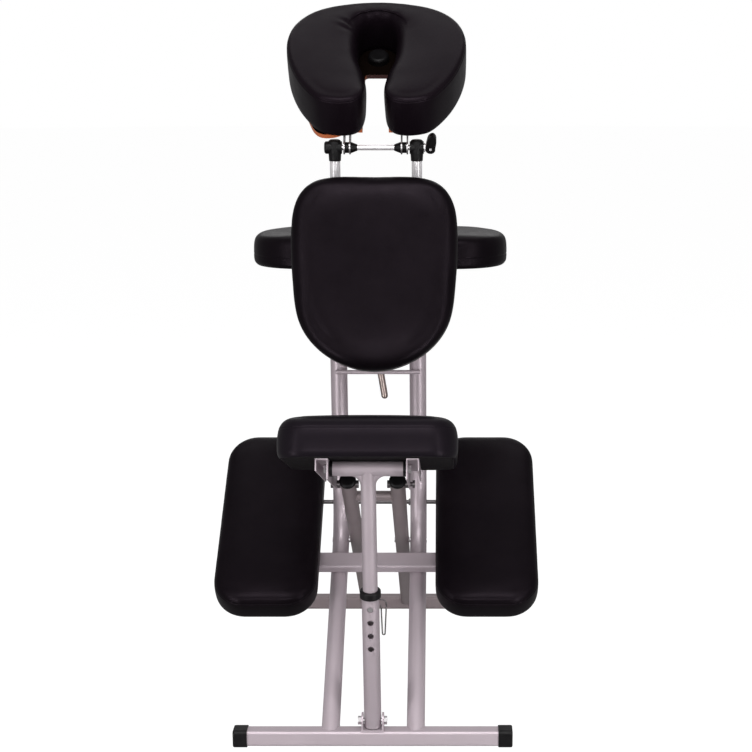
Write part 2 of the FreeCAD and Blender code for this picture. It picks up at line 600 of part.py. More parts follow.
rod = cylx(-90, 90, CY, CZ, CLAMP_R).fuse(cylx(88, 90.4, CY, CZ, 8.5))
rod = rod.fuse(lever_box(89, PX, -5, 5, -3, 3)).fuse(kcyl(PX, 0, 5, -3, 3)).fuse(kcyl(PX, 0, 2.5, -7.4, 7.4))
add("cradle_clamp_rod", one(rod))
pts = [(PX + 8.8, -2), (PX + 10.5, 11), (PX + 9.8, 22), (PX + 5.0, 27.2), (PX - 1.0, 25.2), (PX - 6.2, 15),
       (PX - 8.4, 4), (PX - 8.0, -5), (PX - 2, -9.2), (PX + 5, -8.0)]
c = Part.BSplineCurve()
c.interpolate([V(x, CY, CZ).add(V(LD).multiply(l)) for x, l in pts], PeriodicFlag=True)
tear = Part.Face(Part.Wire([c.toShape()]))
tear.translate(V(KD).multiply(-7))
lever = tear.extrude(V(KD).multiply(14))
lever = lever.cut(lever_box(80, PX + 7, -25, 7.0, -3.4, 3.4)).cut(kcyl(PX, 0, 2.5 + RUN, -10, 10))
lever = max(lever.Solids, key=lambda s: s.Volume)
add("cradle_cam_lever", lever)


def face(shape):
    return turn(shape, CRADLE_ANG, CRADLE_O[0], CRADLE_O[1])


plates, cones = [], []
cf, sf = cs(CRADLE_ANG)


def face_pt(s, h):
    return (CRADLE_O[0] + s * cf - h * sf, CRADLE_O[1] + s * sf + h * cf)


rel = (CY - CRADLE_O[0], CZ - CRADLE_O[1])
rs, rh = rel[0] * cf + rel[1] * sf, -rel[0] * sf + rel[1] * cf
for x0, x1 in ((46, 48.5), (56.5, 59)):
    prof = [face_pt(rs - 8, rh - 7), face_pt(rs + 8, rh - 9), face_pt(96, -8), face_pt(98, 0), face_pt(10, 0),
            face_pt(rs - 11, rh + 4)]
    p = prism(prof, x0, x1).fuse(cylx(x0, x1, CY, CZ, 12.5))
    p = p.cut(face(box(-200, 200, -50, 400, 0, 100))).cut(cylx(0, 100, CY, CZ, CLAMP_R + RUN))
    p = one(p)
    plates += [p, mirror(p)]
add("cradle_bracket_plates", *plates)
cn = Part.makeCone(5.9, 10.5, 12, V(33.8, CY, CZ), V(1, 0, 0)).cut(cylx(0, 100, CY, CZ, CLAMP_R + RUN))
sp = cylx(48.7, 56.3, CY, CZ, 10.0).cut(cylx(0, 100, CY, CZ, CLAMP_R + RUN))
add("cradle_cone_bushes", cn, mirror(cn), sp, mirror(sp))

pl_right = [(34, 13), (62, 14), (88, 22), (108, 40), (131, 76), (145, 122), (146, 168), (134, 214), (100, 253), (50, 270)]
pl_left = [(32, 13), (52, 10), (68, 1), (84, -3), (99, -1), (110, 9), (118, 26), (132, 70), (145, 120), (146, 168), (134, 214),
           (100, 253), (50, 270)]                      # the right corner is cut back for the lever
plate = [(0, 13)] + pl_right + [(0, 274)] + [(-x, y) for x, y in reversed(pl_left)]
pw = outline(plate, 0, CRADLE_BOARD)
notch = box(-24, 24, -40, 171, -5, 20)
notch = notch.makeFillet(7, [e for e in notch.Edges if abs(e.Vertexes[0].Z - e.Vertexes[-1].Z) > 1
                              and e.CenterOfMass.y > 100])
pw = max(pw.cut(notch).Solids, key=lambda s: s.Volume)
add("cradle_plate", face(pw))
face_out = [(48, -12), (78, -11), (98, -4), (110, 7), (124, 26), (138, 50), (152, 84), (163, 128), (165.5, 170),
            (152, 220), (113, 261), (56, 280)]
face_in = [(28, -2), (19.5, 20), (18, 56), (24.5, 92), (34, 126), (38, 168), (37, 206), (28, 235), (14, 247.5)]
shoe = ([(x, y) for x, y in face_out] + [(0, 284)] + [(-x, y) for x, y in reversed(face_out)]
        + [(-x, y) for x, y in face_in] + [(0, 251)] + [(x, y) for x, y in reversed(face_in)])
add("face_cushion", face(outline(shoe, CRADLE_BOARD, CRADLE_BOARD + FACE_PAD)))
kn = Part.makeCylinder(20, 14, V(0, 216, CRADLE_BOARD), V(0, 0, 1))
kn = kn.makeFillet(6, [e for e in kn.Edges if e.CenterOfMass.sub(V(0, 216, CRADLE_BOARD + 14)).Length < 0.5])
add("cradle_centre_cap", face(kn))

# clamp knobs for the uprights, on the front of the rails
for side, flip in (("right", False), ("left", True)):
    o = KNOB
    k0 = RAIL_R + 3
    body = cyl(o.add(V(KDIR).multiply(k0 + 4)), o.add(V(KDIR).multiply(k0 + 20)), 13.0)
    for a in range(6):
        ca, sa = cs(60 * a)
        off = V(15.5 * ca, 0, 0).add(V(W).multiply(15.5 * sa))
        body = body.fuse(cyl(o.add(V(KDIR).multiply(k0 + 4)).add(off), o.add(V(KDIR).multiply(k0 + 20)).add(off), 4.5))
    body = body.fuse(cyl(o.add(V(KDIR).multiply(k0)), o.add(V(KDIR).multiply(k0 + 5)), 8.0))
    body = body.fuse(cyl(o.add(V(KDIR).multiply(UP_R + 0.3)), o.add(V(KDIR).multiply(k0 + 5)), 3.0))
    body = one(body)
    add("upright_knob_" + side, mirror(body) if flip else body)

# -------------------------------------------------------------------- export
for name, shapes in PARTS.items():
    moved = []
    for s in shapes:
        s = s.copy()
        s.translate(V(0, -Y_SHIFT, 0))
        moved.append(s)
    shape = moved[0] if len(moved) == 1 else Part.makeCompound(moved)
    shape.exportStep("parts/%s.step" % name)
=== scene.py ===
import json
import math

import bmesh
import bpy
import numpy as np
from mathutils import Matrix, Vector, noise


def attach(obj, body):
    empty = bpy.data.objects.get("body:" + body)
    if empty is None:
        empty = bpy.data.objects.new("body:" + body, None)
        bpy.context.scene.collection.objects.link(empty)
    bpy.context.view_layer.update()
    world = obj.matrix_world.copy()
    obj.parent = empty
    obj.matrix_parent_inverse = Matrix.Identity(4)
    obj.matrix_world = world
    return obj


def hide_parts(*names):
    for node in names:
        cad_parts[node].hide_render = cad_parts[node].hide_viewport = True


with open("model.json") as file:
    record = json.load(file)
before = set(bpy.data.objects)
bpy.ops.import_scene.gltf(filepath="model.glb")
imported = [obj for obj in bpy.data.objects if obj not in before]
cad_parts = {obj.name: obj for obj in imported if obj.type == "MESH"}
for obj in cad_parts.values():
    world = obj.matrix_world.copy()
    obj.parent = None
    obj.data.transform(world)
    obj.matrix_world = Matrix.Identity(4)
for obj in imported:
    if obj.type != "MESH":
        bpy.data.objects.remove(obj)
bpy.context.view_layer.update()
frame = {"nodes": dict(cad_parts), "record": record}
NODES = frame["nodes"]
SCENE = bpy.context.scene
Y_SHIFT = 0.2873

# ---------------------------------------------------------------- camera
cam_data = bpy.data.cameras.new("camera")
cam_data.lens = 74.14
cam_data.shift_x = -0.0914
cam_data.sensor_width = 36.0
cam_data.clip_end = 100.0
cam = bpy.data.objects.new("camera", cam_data)
cam.location = (0.1261, -2.8262, 1.1837)
cam.rotation_euler = (math.radians(78.39), 0.0, 0.0)
SCENE.collection.objects.link(cam)
SCENE.camera = cam


# ---------------------------------------------------------------- materials
class Nodes:
    """A material's node tree with its shader, and short ways to add to it."""

    def __init__(self, name, **values):
        self.mat = bpy.data.materials.new(name)
        self.mat.use_nodes = True
        self.tree = self.mat.node_tree
        self.bsdf = next(n for n in self.tree.nodes if n.type == "BSDF_PRINCIPLED")
        for key, value in values.items():
            self.bsdf.inputs[key.replace("_", " ")].default_value = value
        self.coord = self.tree.nodes.new("ShaderNodeTexCoord").outputs["Object"]

    def add(self, kind, **values):
        n = self.tree.nodes.new(kind)
        for key, value in values.items():
            if key.startswith("in_"):
                n.inputs[key[3:].replace("_", " ")].default_value = value
            else:
                setattr(n, key, value)
        return n

    def link(self, a, b):
        self.tree.links.new(a, b)

    def mapped(self, scale, rotation=(0, 0, 0), location=(0, 0, 0)):
        m = self.add("ShaderNodeMapping")
        m.inputs["Scale"].default_value = scale
        m.inputs["Rotation"].default_value = rotation
        m.inputs["Location"].default_value = location
        self.link(self.coord, m.inputs["Vector"])
        return m.outputs["Vector"]

    def noise(self, scale, detail=3.0, rough=0.5, vector=None, distort=0.0):
        n = self.add("ShaderNodeTexNoise", in_Scale=scale, in_Detail=detail, in_Roughness=rough, in_Distortion=distort)
        self.link(vector or self.coord, n.inputs["Vector"])
        return n.outputs["Fac"]

    def cells(self, scale, feature="F1", vector=None, smooth=None):
        n = self.add("ShaderNodeTexVoronoi", feature=feature, in_Scale=scale)
        if smooth is not None and "Smoothness" in n.inputs:
            n.inputs["Smoothness"].default_value = smooth
        self.link(vector or self.coord, n.inputs["Vector"])
        return n.outputs["Distance"]

    def math(self, op, a, b):
        n = self.add("ShaderNodeMath", operation=op)
        for i, v in enumerate((a, b)):
            if isinstance(v, (int, float)):
                n.inputs[i].default_value = v
            else:
                self.link(v, n.inputs[i])
        return n.outputs["Value"]

    def spread(self, value, lo, hi, from_lo=0.3, from_hi=0.7):
        n = self.add("ShaderNodeMapRange")
        n.inputs["From Min"].default_value = from_lo
        n.inputs["From Max"].default_value = from_hi
        n.inputs["To Min"].default_value = lo
        n.inputs["To Max"].default_value = hi
        self.link(value, n.inputs["Value"])
        return n.outputs["Result"]

    def ramp(self, value, stops):
        n = self.add("ShaderNodeValToRGB")
        e = n.color_ramp.elements
        while len(e) < len(stops):
            e.new(0.5)
        for k, (pos, colour) in enumerate(stops):
            e[k].position = pos
            e[k].color = (*colour, 1)
        self.link(value, n.inputs["Fac"])
        return n.outputs["Color"]

    def colour(self, value, stops):
        self.link(self.ramp(value, stops), self.bsdf.inputs["Base Color"])

    def rough(self, value, lo, hi):
        self.link(self.spread(value, lo, hi), self.bsdf.inputs["Roughness"])

    def bump(self, height, strength, distance):
        n = self.add("ShaderNodeBump", in_Strength=strength, in_Distance=distance)
        self.link(height, n.inputs["Height"])
        self.link(n.outputs["Normal"], self.bsdf.inputs["Normal"])


def leather(name="cover_leather", low=(0.0027, 0.0018, 0.0026), high=(0.0042, 0.0029, 0.0040)):
    m = Nodes(name, Specular_IOR_Level=0.075, Metallic=0.0, Specular_Tint=(1.0, 0.80, 0.98, 1.0))
    m.colour(m.noise(14, 3), [(0.3, low), (0.7, high)])
    grain = m.cells(760, "SMOOTH_F1", smooth=0.35)
    fine = m.noise(1900, 2)
    crease = m.noise(120, 5, 0.62, distort=0.5)
    height = m.math("ADD", m.math("MULTIPLY", grain, 0.75), m.math("MULTIPLY", fine, 0.22))
    height = m.math("ADD", height, m.math("MULTIPLY", crease, 0.8))
    m.bump(height, 0.16, 0.0006)
    m.rough(m.math("ADD", m.math("MULTIPLY", m.noise(40, 4), 0.7), m.math("MULTIPLY", grain, 0.5)), 0.26, 0.38)
    return m.mat


def lining():
    m = Nodes("underside_lining", Specular_IOR_Level=0.10)
    m.colour(m.noise(240, 5, 0.7), [(0.3, (0.0042, 0.0032, 0.0040)), (0.75, (0.0105, 0.0083, 0.0100))])
    v = m.mapped((1, 1, 1), (0.4, 0.2, 0.7))
    fibres = m.math("ADD", m.noise(700, 6, 0.75, distort=1.5), m.math("MULTIPLY", m.cells(420, vector=v), 0.5))
    m.bump(fibres, 0.5, 0.0008)
    m.rough(m.noise(90, 3), 0.78, 0.92)
    return m.mat


def painted(name="silver_paint", low=(0.455, 0.387, 0.422), high=(0.520, 0.447, 0.486), r0=0.33, r1=0.44, coat=0.10):
    m = Nodes(name, Metallic=0.35, Specular_IOR_Level=0.45, Coat_Weight=coat, Coat_Roughness=0.36)
    flake = m.cells(2600)
    tone = m.math("ADD", m.math("MULTIPLY", m.noise(9, 3), 0.6), m.math("MULTIPLY", flake, 0.45))
    m.colour(tone, [(0.25, low), (0.75, high)])
    m.rough(m.math("ADD", m.math("MULTIPLY", m.noise(26, 4), 0.75), m.math("MULTIPLY", flake, 0.3)), r0, r1)
    m.bump(m.math("ADD", m.noise(520, 2), m.math("MULTIPLY", flake, 0.3)), 0.10, 0.0003)
    return m.mat


def chrome():
    m = Nodes("chrome_plate", Metallic=0.45, Specular_IOR_Level=0.6)
    m.colour(m.noise(30, 3), [(0.3, (0.86, 0.83, 0.85)), (0.7, (0.93, 0.905, 0.92))])
    along = m.mapped((900, 900, 30))
    m.rough(m.math("ADD", m.math("MULTIPLY", m.noise(60, 4), 0.7), m.math("MULTIPLY", m.noise(1, 2, vector=along), 0.3)), 0.10, 0.24)
    m.bump(m.noise(1, 3, vector=along), 0.04, 0.0002)
    return m.mat


def zinc(name="zinc_plate", low=(0.46, 0.44, 0.45), high=(0.62, 0.60, 0.61), r0=0.26, r1=0.42):
    m = Nodes(name, Metallic=0.9)
    spangle = m.cells(330, vector=m.mapped((1, 1, 1), (0.3, 0.5, 0.2)))
    tone = m.math("ADD", m.math("MULTIPLY", m.noise(70, 4), 0.7), m.math("MULTIPLY", spangle, 0.4))
    m.colour(tone, [(0.25, low), (0.75, high)])
    m.rough(m.noise(150, 4), r0, r1)
    m.bump(m.noise(1100, 3), 0.08, 0.0002)
    return m.mat


def moulded():
    m = Nodes("black_moulding", Specular_IOR_Level=0.2)
    m.colour(m.noise(60, 3), [(0.3, (0.0030, 0.0026, 0.0030)), (0.7, (0.0055, 0.0048, 0.0055))])
    spark = m.cells(1500)
    m.rough(m.math("ADD", m.math("MULTIPLY", m.noise(110, 3), 0.7), m.math("MULTIPLY", spark, 0.4)), 0.34, 0.50)
    m.bump(spark, 0.18, 0.0003)
    return m.mat


def plywood():
    """Stained plywood with long grain; the plies show on the cut edge. The upward face is made near-black as painted
    shade, with a loop texture, and the cut edge at the notch is darkened as painted shade.
    """
    m = Nodes("stained_plywood", Specular_IOR_Level=0.4, Coat_Weight=0.25, Coat_Roughness=0.3)
    turn = (math.radians(-37.0), 0, 0)
    grain = m.noise(1, 6, 0.62, vector=m.mapped((26, 210, 400), turn), distort=0.9)
    broad = m.noise(9, 3)
    ply = m.add("ShaderNodeTexWave", wave_type="BANDS", bands_direction="Z", in_Scale=105.0, in_Distortion=0.25)
    m.link(m.mapped((1, 1, 1), turn, (0, 0, 0.0021)), ply.inputs["Vector"])
    tone = m.math("ADD", m.math("MULTIPLY", grain, 0.6), m.math("MULTIPLY", broad, 0.25))
    tone = m.math("ADD", tone, m.math("MULTIPLY", ply.outputs["Fac"], 0.22))
    wood = m.ramp(tone, [(0.25, (0.30, 0.062, 0.018)), (0.55, (0.52, 0.135, 0.045)), (0.9, (0.66, 0.23, 0.095))])
    loops = m.math("ADD", m.math("MULTIPLY", m.cells(900), 0.7), m.math("MULTIPLY", m.noise(420, 4, 0.7), 0.5))
    # painted shade: the upward face of the plate, under the cushion, is made near-black, with a loop texture, to stand
    # in for the shade there
    pile_and_shade_colour = m.ramp(loops, [(0.3, (0.0016, 0.0009, 0.0007)), (0.8, (0.0055, 0.0028, 0.0018))])
    face = m.add("ShaderNodeVectorMath", operation="DOT_PRODUCT")
    m.link(m.add("ShaderNodeTexCoord").outputs["Normal"], face.inputs[0])
    face.inputs[1].default_value = (0, -math.sin(math.radians(37.0)), math.cos(math.radians(37.0)))
    up = m.spread(face.outputs["Value"], 0.0, 1.0, 0.90, 0.94)
    # painted shade: the cut edge at the notch, under the cushion, is darkened to stand in for the shade there
    ahead = m.add("ShaderNodeVectorMath", operation="DOT_PRODUCT")
    m.link(m.add("ShaderNodeTexCoord").outputs["Normal"], ahead.inputs[0])
    ahead.inputs[1].default_value = (0, -math.cos(math.radians(37.0)), -math.sin(math.radians(37.0)))
    split = m.add("ShaderNodeSeparateXYZ")
    m.link(m.coord, split.inputs[0])
    middle = m.spread(m.math("ABSOLUTE", split.outputs["X"], 0.0), 1.0, 0.0, 0.020, 0.024)
    edge = m.spread(m.math("ABSOLUTE", face.outputs["Value"], 0.0), 1.0, 0.0, 0.5, 0.7)
    inside = m.math("MULTIPLY", m.math("MULTIPLY", middle, edge), m.spread(ahead.outputs["Value"], 0.0, 1.0, -0.6, -0.4))
    notch_shade_colour = m.ramp(tone, [(0.25, (0.080, 0.035, 0.033)), (0.9, (0.140, 0.062, 0.057))])
    notch = m.add("ShaderNodeMix", data_type="RGBA")
    m.link(inside, notch.inputs[0])
    m.link(wood, notch.inputs[6])
    m.link(notch_shade_colour, notch.inputs[7])
    notched = notch.outputs[2]
    mix = m.add("ShaderNodeMix", data_type="RGBA")
    m.link(up, mix.inputs[0])
    m.link(notched, mix.inputs[6])
    m.link(pile_and_shade_colour, mix.inputs[7])
    m.link(mix.outputs[2], m.bsdf.inputs["Base Color"])
    m.link(m.spread(face.outputs["Value"], 0.25, 0.0, 0.90, 0.94), m.bsdf.inputs["Coat Weight"])
    m.link(m.spread(face.outputs["Value"], 0.4, 0.03, 0.90, 0.94), m.bsdf.inputs["Specular IOR Level"])
    m.link(m.math("ADD", m.spread(m.noise(60, 3), 0.36, 0.50), m.math("MULTIPLY", up, 0.42)), m.bsdf.inputs["Roughness"])
    m.bump(m.math("ADD", grain, m.math("MULTIPLY", m.math("MULTIPLY", loops, up), 1.5)), 0.2, 0.0006)
    return m.mat


LEATHER, LINING = leather(), lining()
# painted sheen: a lighter, more purple copy of the cover leather for the face pad, standing in for the tinted
# reflection on that pad
FACE_LEATHER_SHEEN = leather("cover_leather_face_painted_sheen", (0.0042, 0.0025, 0.0039), (0.0056, 0.0035, 0.0052))
# painted light: a paler copy of the cover leather for the seat, standing in for the light its front catches
SEAT_LEATHER_LIT = leather("cover_leather_seat_painted_light", (0.0060, 0.0046, 0.0065), (0.0076, 0.0060, 0.0081))
PAINT, CHROME, ZINC, MOULD, PLY = painted(), chrome(), zinc(), moulded(), plywood()
# painted shade: a darker copy of the silver paint for the front legs, brace and front foot bar, standing in for the
# shade they sit in under the seat
FRAME_PAINT_SHADED = painted("silver_paint_painted_shade", (0.235, 0.190, 0.197), (0.285, 0.235, 0.243), 0.40, 0.52)
MATTE = painted("silver_paint_matte", (0.440, 0.373, 0.407), (0.495, 0.426, 0.463), 0.50, 0.62, 0.0)
# painted shade: a darker copy of the matte paint for the post, dimming the post below what the lamps give it
POST_PAINT_SHADED = painted("silver_paint_post_painted_shade", (0.366, 0.310, 0.339), (0.412, 0.355, 0.385), 0.50, 0.62, 0.0)
LEVER = zinc("lever_metal", (0.30, 0.235, 0.215), (0.44, 0.36, 0.335), 0.28, 0.40)
ROD = zinc("rod_metal", (0.13, 0.12, 0.125), (0.19, 0.175, 0.18), 0.42, 0.55)
WIRE = zinc("wire_metal", (0.10, 0.092, 0.095), (0.17, 0.155, 0.16), 0.30, 0.45)

BY_SLOT = {"painted": PAINT, "chrome": CHROME, "steel": ZINC, "black_plastic": MOULD, "cover": LEATHER, "plywood": PLY, "lining": LINING}
for row in frame["record"]["subparts"]:
    NODES[row["node"]].data.materials.clear()
    NODES[row["node"]].data.materials.append(BY_SLOT[row["material_slot"]])
NODES["chest_lock_lever"].data.materials[0] = LEVER
NODES["knee_support_rod"].data.materials[0] = ROD
NODES["pin_bail_wire"].data.materials[0] = WIRE
NODES["strut_hook_pins"].data.materials[0] = WIRE
# the front leg frame takes the darker painted-shade copy of the silver paint
for name in ("front_strut_left", "front_strut_right", "strut_brace", "front_foot_bar"):
    NODES[name].data.materials[0] = FRAME_PAINT_SHADED
for name in ("lower_post_tube", "seat_post_tee", "knee_cross_bar"):
    NODES[name].data.materials[0] = MATTE
# the post parts take the darker painted-shade copy of the matte paint
for name in ("lower_post_tube", "seat_post_tee"):
    NODES[name].data.materials[0] = POST_PAINT_SHADED


# ---------------------------------------------------------------- pad shapes
def plane(deg, oy, oz):
    """Millimetre points (x, along, out) of a tilted pad to the row frame in metres."""
    c, s = math.cos(math.radians(deg)), math.sin(math.radians(deg))

    def to(p):
        p = np.asarray(p, float)
        return np.stack([p[..., 0], oy + p[..., 1] * c - p[..., 2] * s, oz + p[..., 1] * s + p[..., 2] * c], -1) / 1000 - [0, Y_SHIFT, 0]

    return to


KNEE, SEAT, CHEST = plane(36.0, 0.0, 16.0), plane(-20.0, -80.0, 523.0), plane(74.8, 184.0, 808.5)
ARM, FACE = plane(0.0, 0.0, 0.0), plane(37.0, 310.0, 1042.0)


def rounded(x0, x1, y0, y1, r):
    """Dense outline of a rounded rectangle, anticlockwise."""
    out = []
    for cx, cy, a0 in ((x1 - r, y0 + r, -90), (x1 - r, y1 - r, 0), (x0 + r, y1 - r, 90), (x0 + r, y0 + r, 180)):
        out += [(cx + r * math.cos(math.radians(a0 + 3 * k)), cy + r * math.sin(math.radians(a0 + 3 * k))) for k in range(31)]
    return np.array(out)


def loop(points, n=1600):
    """Dense closed curve through the points: a periodic cubic with chord-length knots."""
    p = np.array(points, float)
    m = len(p)
    h = np.linalg.norm(np.roll(p, -1, 0) - p, axis=1)
    a = np.zeros((m, m))
    b = np.zeros((m, 2))
    for i in range(m):
        a[i, i - 1], a[i, i], a[i, (i + 1) % m] = h[i - 1], 2 * (h[i - 1] + h[i]), h[i]
        b[i] = 6 * ((p[(i + 1) % m] - p[i]) / h[i] - (p[i] - p[i - 1]) / h[i - 1])
    s = np.linalg.solve(a, b)
    out = []
    for t in np.linspace(0, h.sum(), n, endpoint=False):
        i = 0
        while t > h[i]:
            t -= h[i]
            i += 1
        k, u = (i + 1) % m, h[i] - t
        out.append(s[i] * u**3 / (6 * h[i]) + s[k] * t**3 / (6 * h[i]) + (p[i] / h[i] - s[i] * h[i] / 6) * u + (p[k] / h[i] - s[k] * h[i] / 6) * t)
    return np.array(out)


def ring_of(dense, corners, na, nb):
    """The outline as 2(na+nb) points, anticlockwise, in four sides that meet at the corners."""
    at = [int(np.argmin(np.linalg.norm(dense - c, axis=1))) for c in np.array(corners, float)]
    out = []
    for k, count in zip(range(4), (na, nb, na, nb)):
        i, j = at[k], at[(k + 1) % 4]
        run = np.concatenate([dense[i:], dense[: j + 1]]) if j <= i else dense[i : j + 1]
        d = np.concatenate([[0], np.cumsum(np.linalg.norm(np.diff(run, axis=0), axis=1))])
        t = np.linspace(0, d[-1], count, endpoint=False)
        out.append(np.stack([np.interp(t, d, run[:, 0]), np.interp(t, d, run[:, 1])], 1))
    return np.concatenate(out)


def inward(ring):
    t = np.roll(ring, -1, 0) - np.roll(ring, 1, 0)
    n = np.stack([-t[:, 1], t[:, 0]], 1)
    n /= np.linalg.norm(n, axis=1)[:, None]
    for _ in range(2):
        n = n + 0.5 * (np.roll(n, 1, 0) + np.roll(n, -1, 0))
        n /= np.linalg.norm(n, axis=1)[:, None]
    return n


def patch(ring, na, nb):
    """Grid of points inside a ring of four sides."""
    n = len(ring)
    i, j = np.arange(na + 1), np.arange(nb + 1)
    c0, c1 = ring[i % n], ring[(2 * na + nb - i) % n]
    d0, d1 = ring[(n - j) % n], ring[(na + j) % n]
    u, v = (i / na)[:, None, None], (j / nb)[None, :, None]
    p00, p10, p11, p01 = ring[0], ring[na], ring[na + nb], ring[2 * na + nb]
    return ((1 - v) * c0[:, None] + v * c1[:, None] + (1 - u) * d0[None] + u * d1[None]
            - ((1 - u) * (1 - v) * p00 + u * (1 - v) * p10 + u * v * p11 + (1 - u) * v * p01))


def rim_index(na, nb):
    """Ring index of each grid point on the rim, and the interior grid points."""
    n = 2 * (na + nb)
    at = {}
    for i in range(na + 1):
        at[(i, 0)] = i % n
        at[(i, nb)] = (2 * na + nb - i) % n
    for j in range(nb + 1):
        at[(0, j)] = (n - j) % n
        at[(na, j)] = (na + j) % n
    return at


class Pad:
    """A closed pad: a floor patch, rings up the side, and a top patch, all in pad millimetres."""

    def __init__(self, rings, na, nb, seam):
        self.na, self.nb, self.seam = na, nb, seam
        self.rings = [np.asarray(r, float) for r in rings]
        self.floor = patch(self.rings[0], na, nb)
        self.top = patch(self.rings[-1], na, nb)

    def mesh(self, to):
        """Vertices, faces, and which rows of vertices each ring has."""
        na, nb = self.na, self.nb
        n, k = 2 * (na + nb), len(self.rings)
        rim = rim_index(na, nb)
        verts = [r for r in self.rings]
        base = n * k
        index = {}
        extra = []
        for name, grid, row in (("floor", self.floor, 0), ("top", self.top, k - 1)):
            for i in range(na + 1):
                for j in range(nb + 1):
                    if (i, j) in rim:
                        index[name, i, j] = row * n + rim[(i, j)]
                    else:
                        index[name, i, j] = base + len(extra)
                        extra.append(grid[i, j])
        verts = np.concatenate(verts + [np.array(extra)])
        faces = []
        for r in range(k - 1):
            for j in range(n):
                q = (j + 1) % n
                faces.append((r * n + j, r * n + q, (r + 1) * n + q, (r + 1) * n + j))
        for i in range(na):
            for j in range(nb):
                faces.append(tuple(index["floor", a, b] for a, b in ((i, j), (i, j + 1), (i + 1, j + 1), (i + 1, j))))
                faces.append(tuple(index["top", a, b] for a, b in ((i, j), (i + 1, j), (i + 1, j + 1), (i, j + 1))))
        self.index = index
        return to(verts), faces

    def take(self, local):
        """Puts moved vertices, in pad millimetres, back into rings and patches."""
        na, nb = self.na, self.nb
        n, k = 2 * (na + nb), len(self.rings)
        self.rings = [local[r * n : (r + 1) * n].copy() for r in range(k)]
        for name, grid in (("floor", self.floor), ("top", self.top)):
            for i in range(na + 1):
                for j in range(nb + 1):
                    grid[i, j] = local[self.index[name, i, j]]


def new_object(name, verts, faces):
    me = bpy.data.meshes.new(name)
    me.from_pydata([tuple(v) for v in verts], [], faces)
    me.update()
    o = bpy.data.objects.new(name, me)
    SCENE.collection.objects.link(o)
    return o


def coords(me):
    co = np.zeros(len(me.vertices) * 3, np.float32)
    me.vertices.foreach_get("co", co)
    return co.reshape(-1, 3).astype(float)


def inflate(pad, to, back, held, pressure, cap, frames=20):
    """Blows the pad up as cloth, held at the given vertices; the moves are evened out and kept under the cap."""
    verts, faces = pad.mesh(to)
    o = new_object("cloth_trial", verts, faces)
    group = o.vertex_groups.new(name="held")
    group.add([int(i) for i in held], 1.0, "REPLACE")
    mod = o.modifiers.new("cloth", "CLOTH")
    s = mod.settings
    s.quality = 6
    s.mass = 0.25
    s.tension_stiffness = s.compression_stiffness = 22
    s.shear_stiffness = 12
    s.bending_stiffness = 1.2
    s.vertex_group_mass = "held"
    s.use_pressure = True
    s.uniform_pressure_force = pressure
    s.effector_weights.gravity = 0.0
    mod.collision_settings.use_collision = False
    mod.collision_settings.use_self_collision = False
    mod.point_cache.frame_start, mod.point_cache.frame_end = 1, frames
    for f in range(1, frames + 1):
        SCENE.frame_set(f)
    moved = coords(o.evaluated_get(bpy.context.evaluated_depsgraph_get()).data)
    SCENE.frame_set(1)
    d = moved - verts
    e = np.array(sorted({tuple(sorted((f[i], f[(i + 1) % len(f)]))) for f in faces for i in range(len(f))}))
    count = np.bincount(e.ravel(), minlength=len(d))[:, None].astype(float)
    for _ in range(90):
        d[held] = 0
        near = np.zeros_like(d)
        np.add.at(near, e[:, 0], d[e[:, 1]])
        np.add.at(near, e[:, 1], d[e[:, 0]])
        d = 0.4 * d + 0.6 * near / count
    length = np.linalg.norm(d, axis=1)[:, None] + 1e-12
    cap = cap / 1000
    d = d / length * cap * np.tanh(length / cap)
    d[held] = 0
    me = o.data
    bpy.data.objects.remove(o)
    bpy.data.meshes.remove(me)
    pad.take(back(verts + d))


def undo(deg, oy, oz):
    c, s = math.cos(math.radians(deg)), math.sin(math.radians(deg))

    def back(w):
        p = (np.asarray(w) + [0, Y_SHIFT, 0]) * 1000
        y, z = p[:, 1] - oy, p[:, 2] - oz
        return np.stack([p[:, 0], y * c + z * s, -y * s + z * c], 1)

    return back


BACK = {KNEE: undo(36.0, 0.0, 16.0), SEAT: undo(-20.0, -80.0, 523.0), CHEST: undo(74.8, 184.0, 808.5),
        ARM: undo(0.0, 0.0, 0.0), FACE: undo(37.0, 310.0, 1042.0)}


def between(a, b, c, d, t):
    return 0.5 * (2 * b + (c - a) * t + (2 * a - 5 * b + 4 * c - d) * t * t + (3 * b - a - 3 * c + d) * t**3)


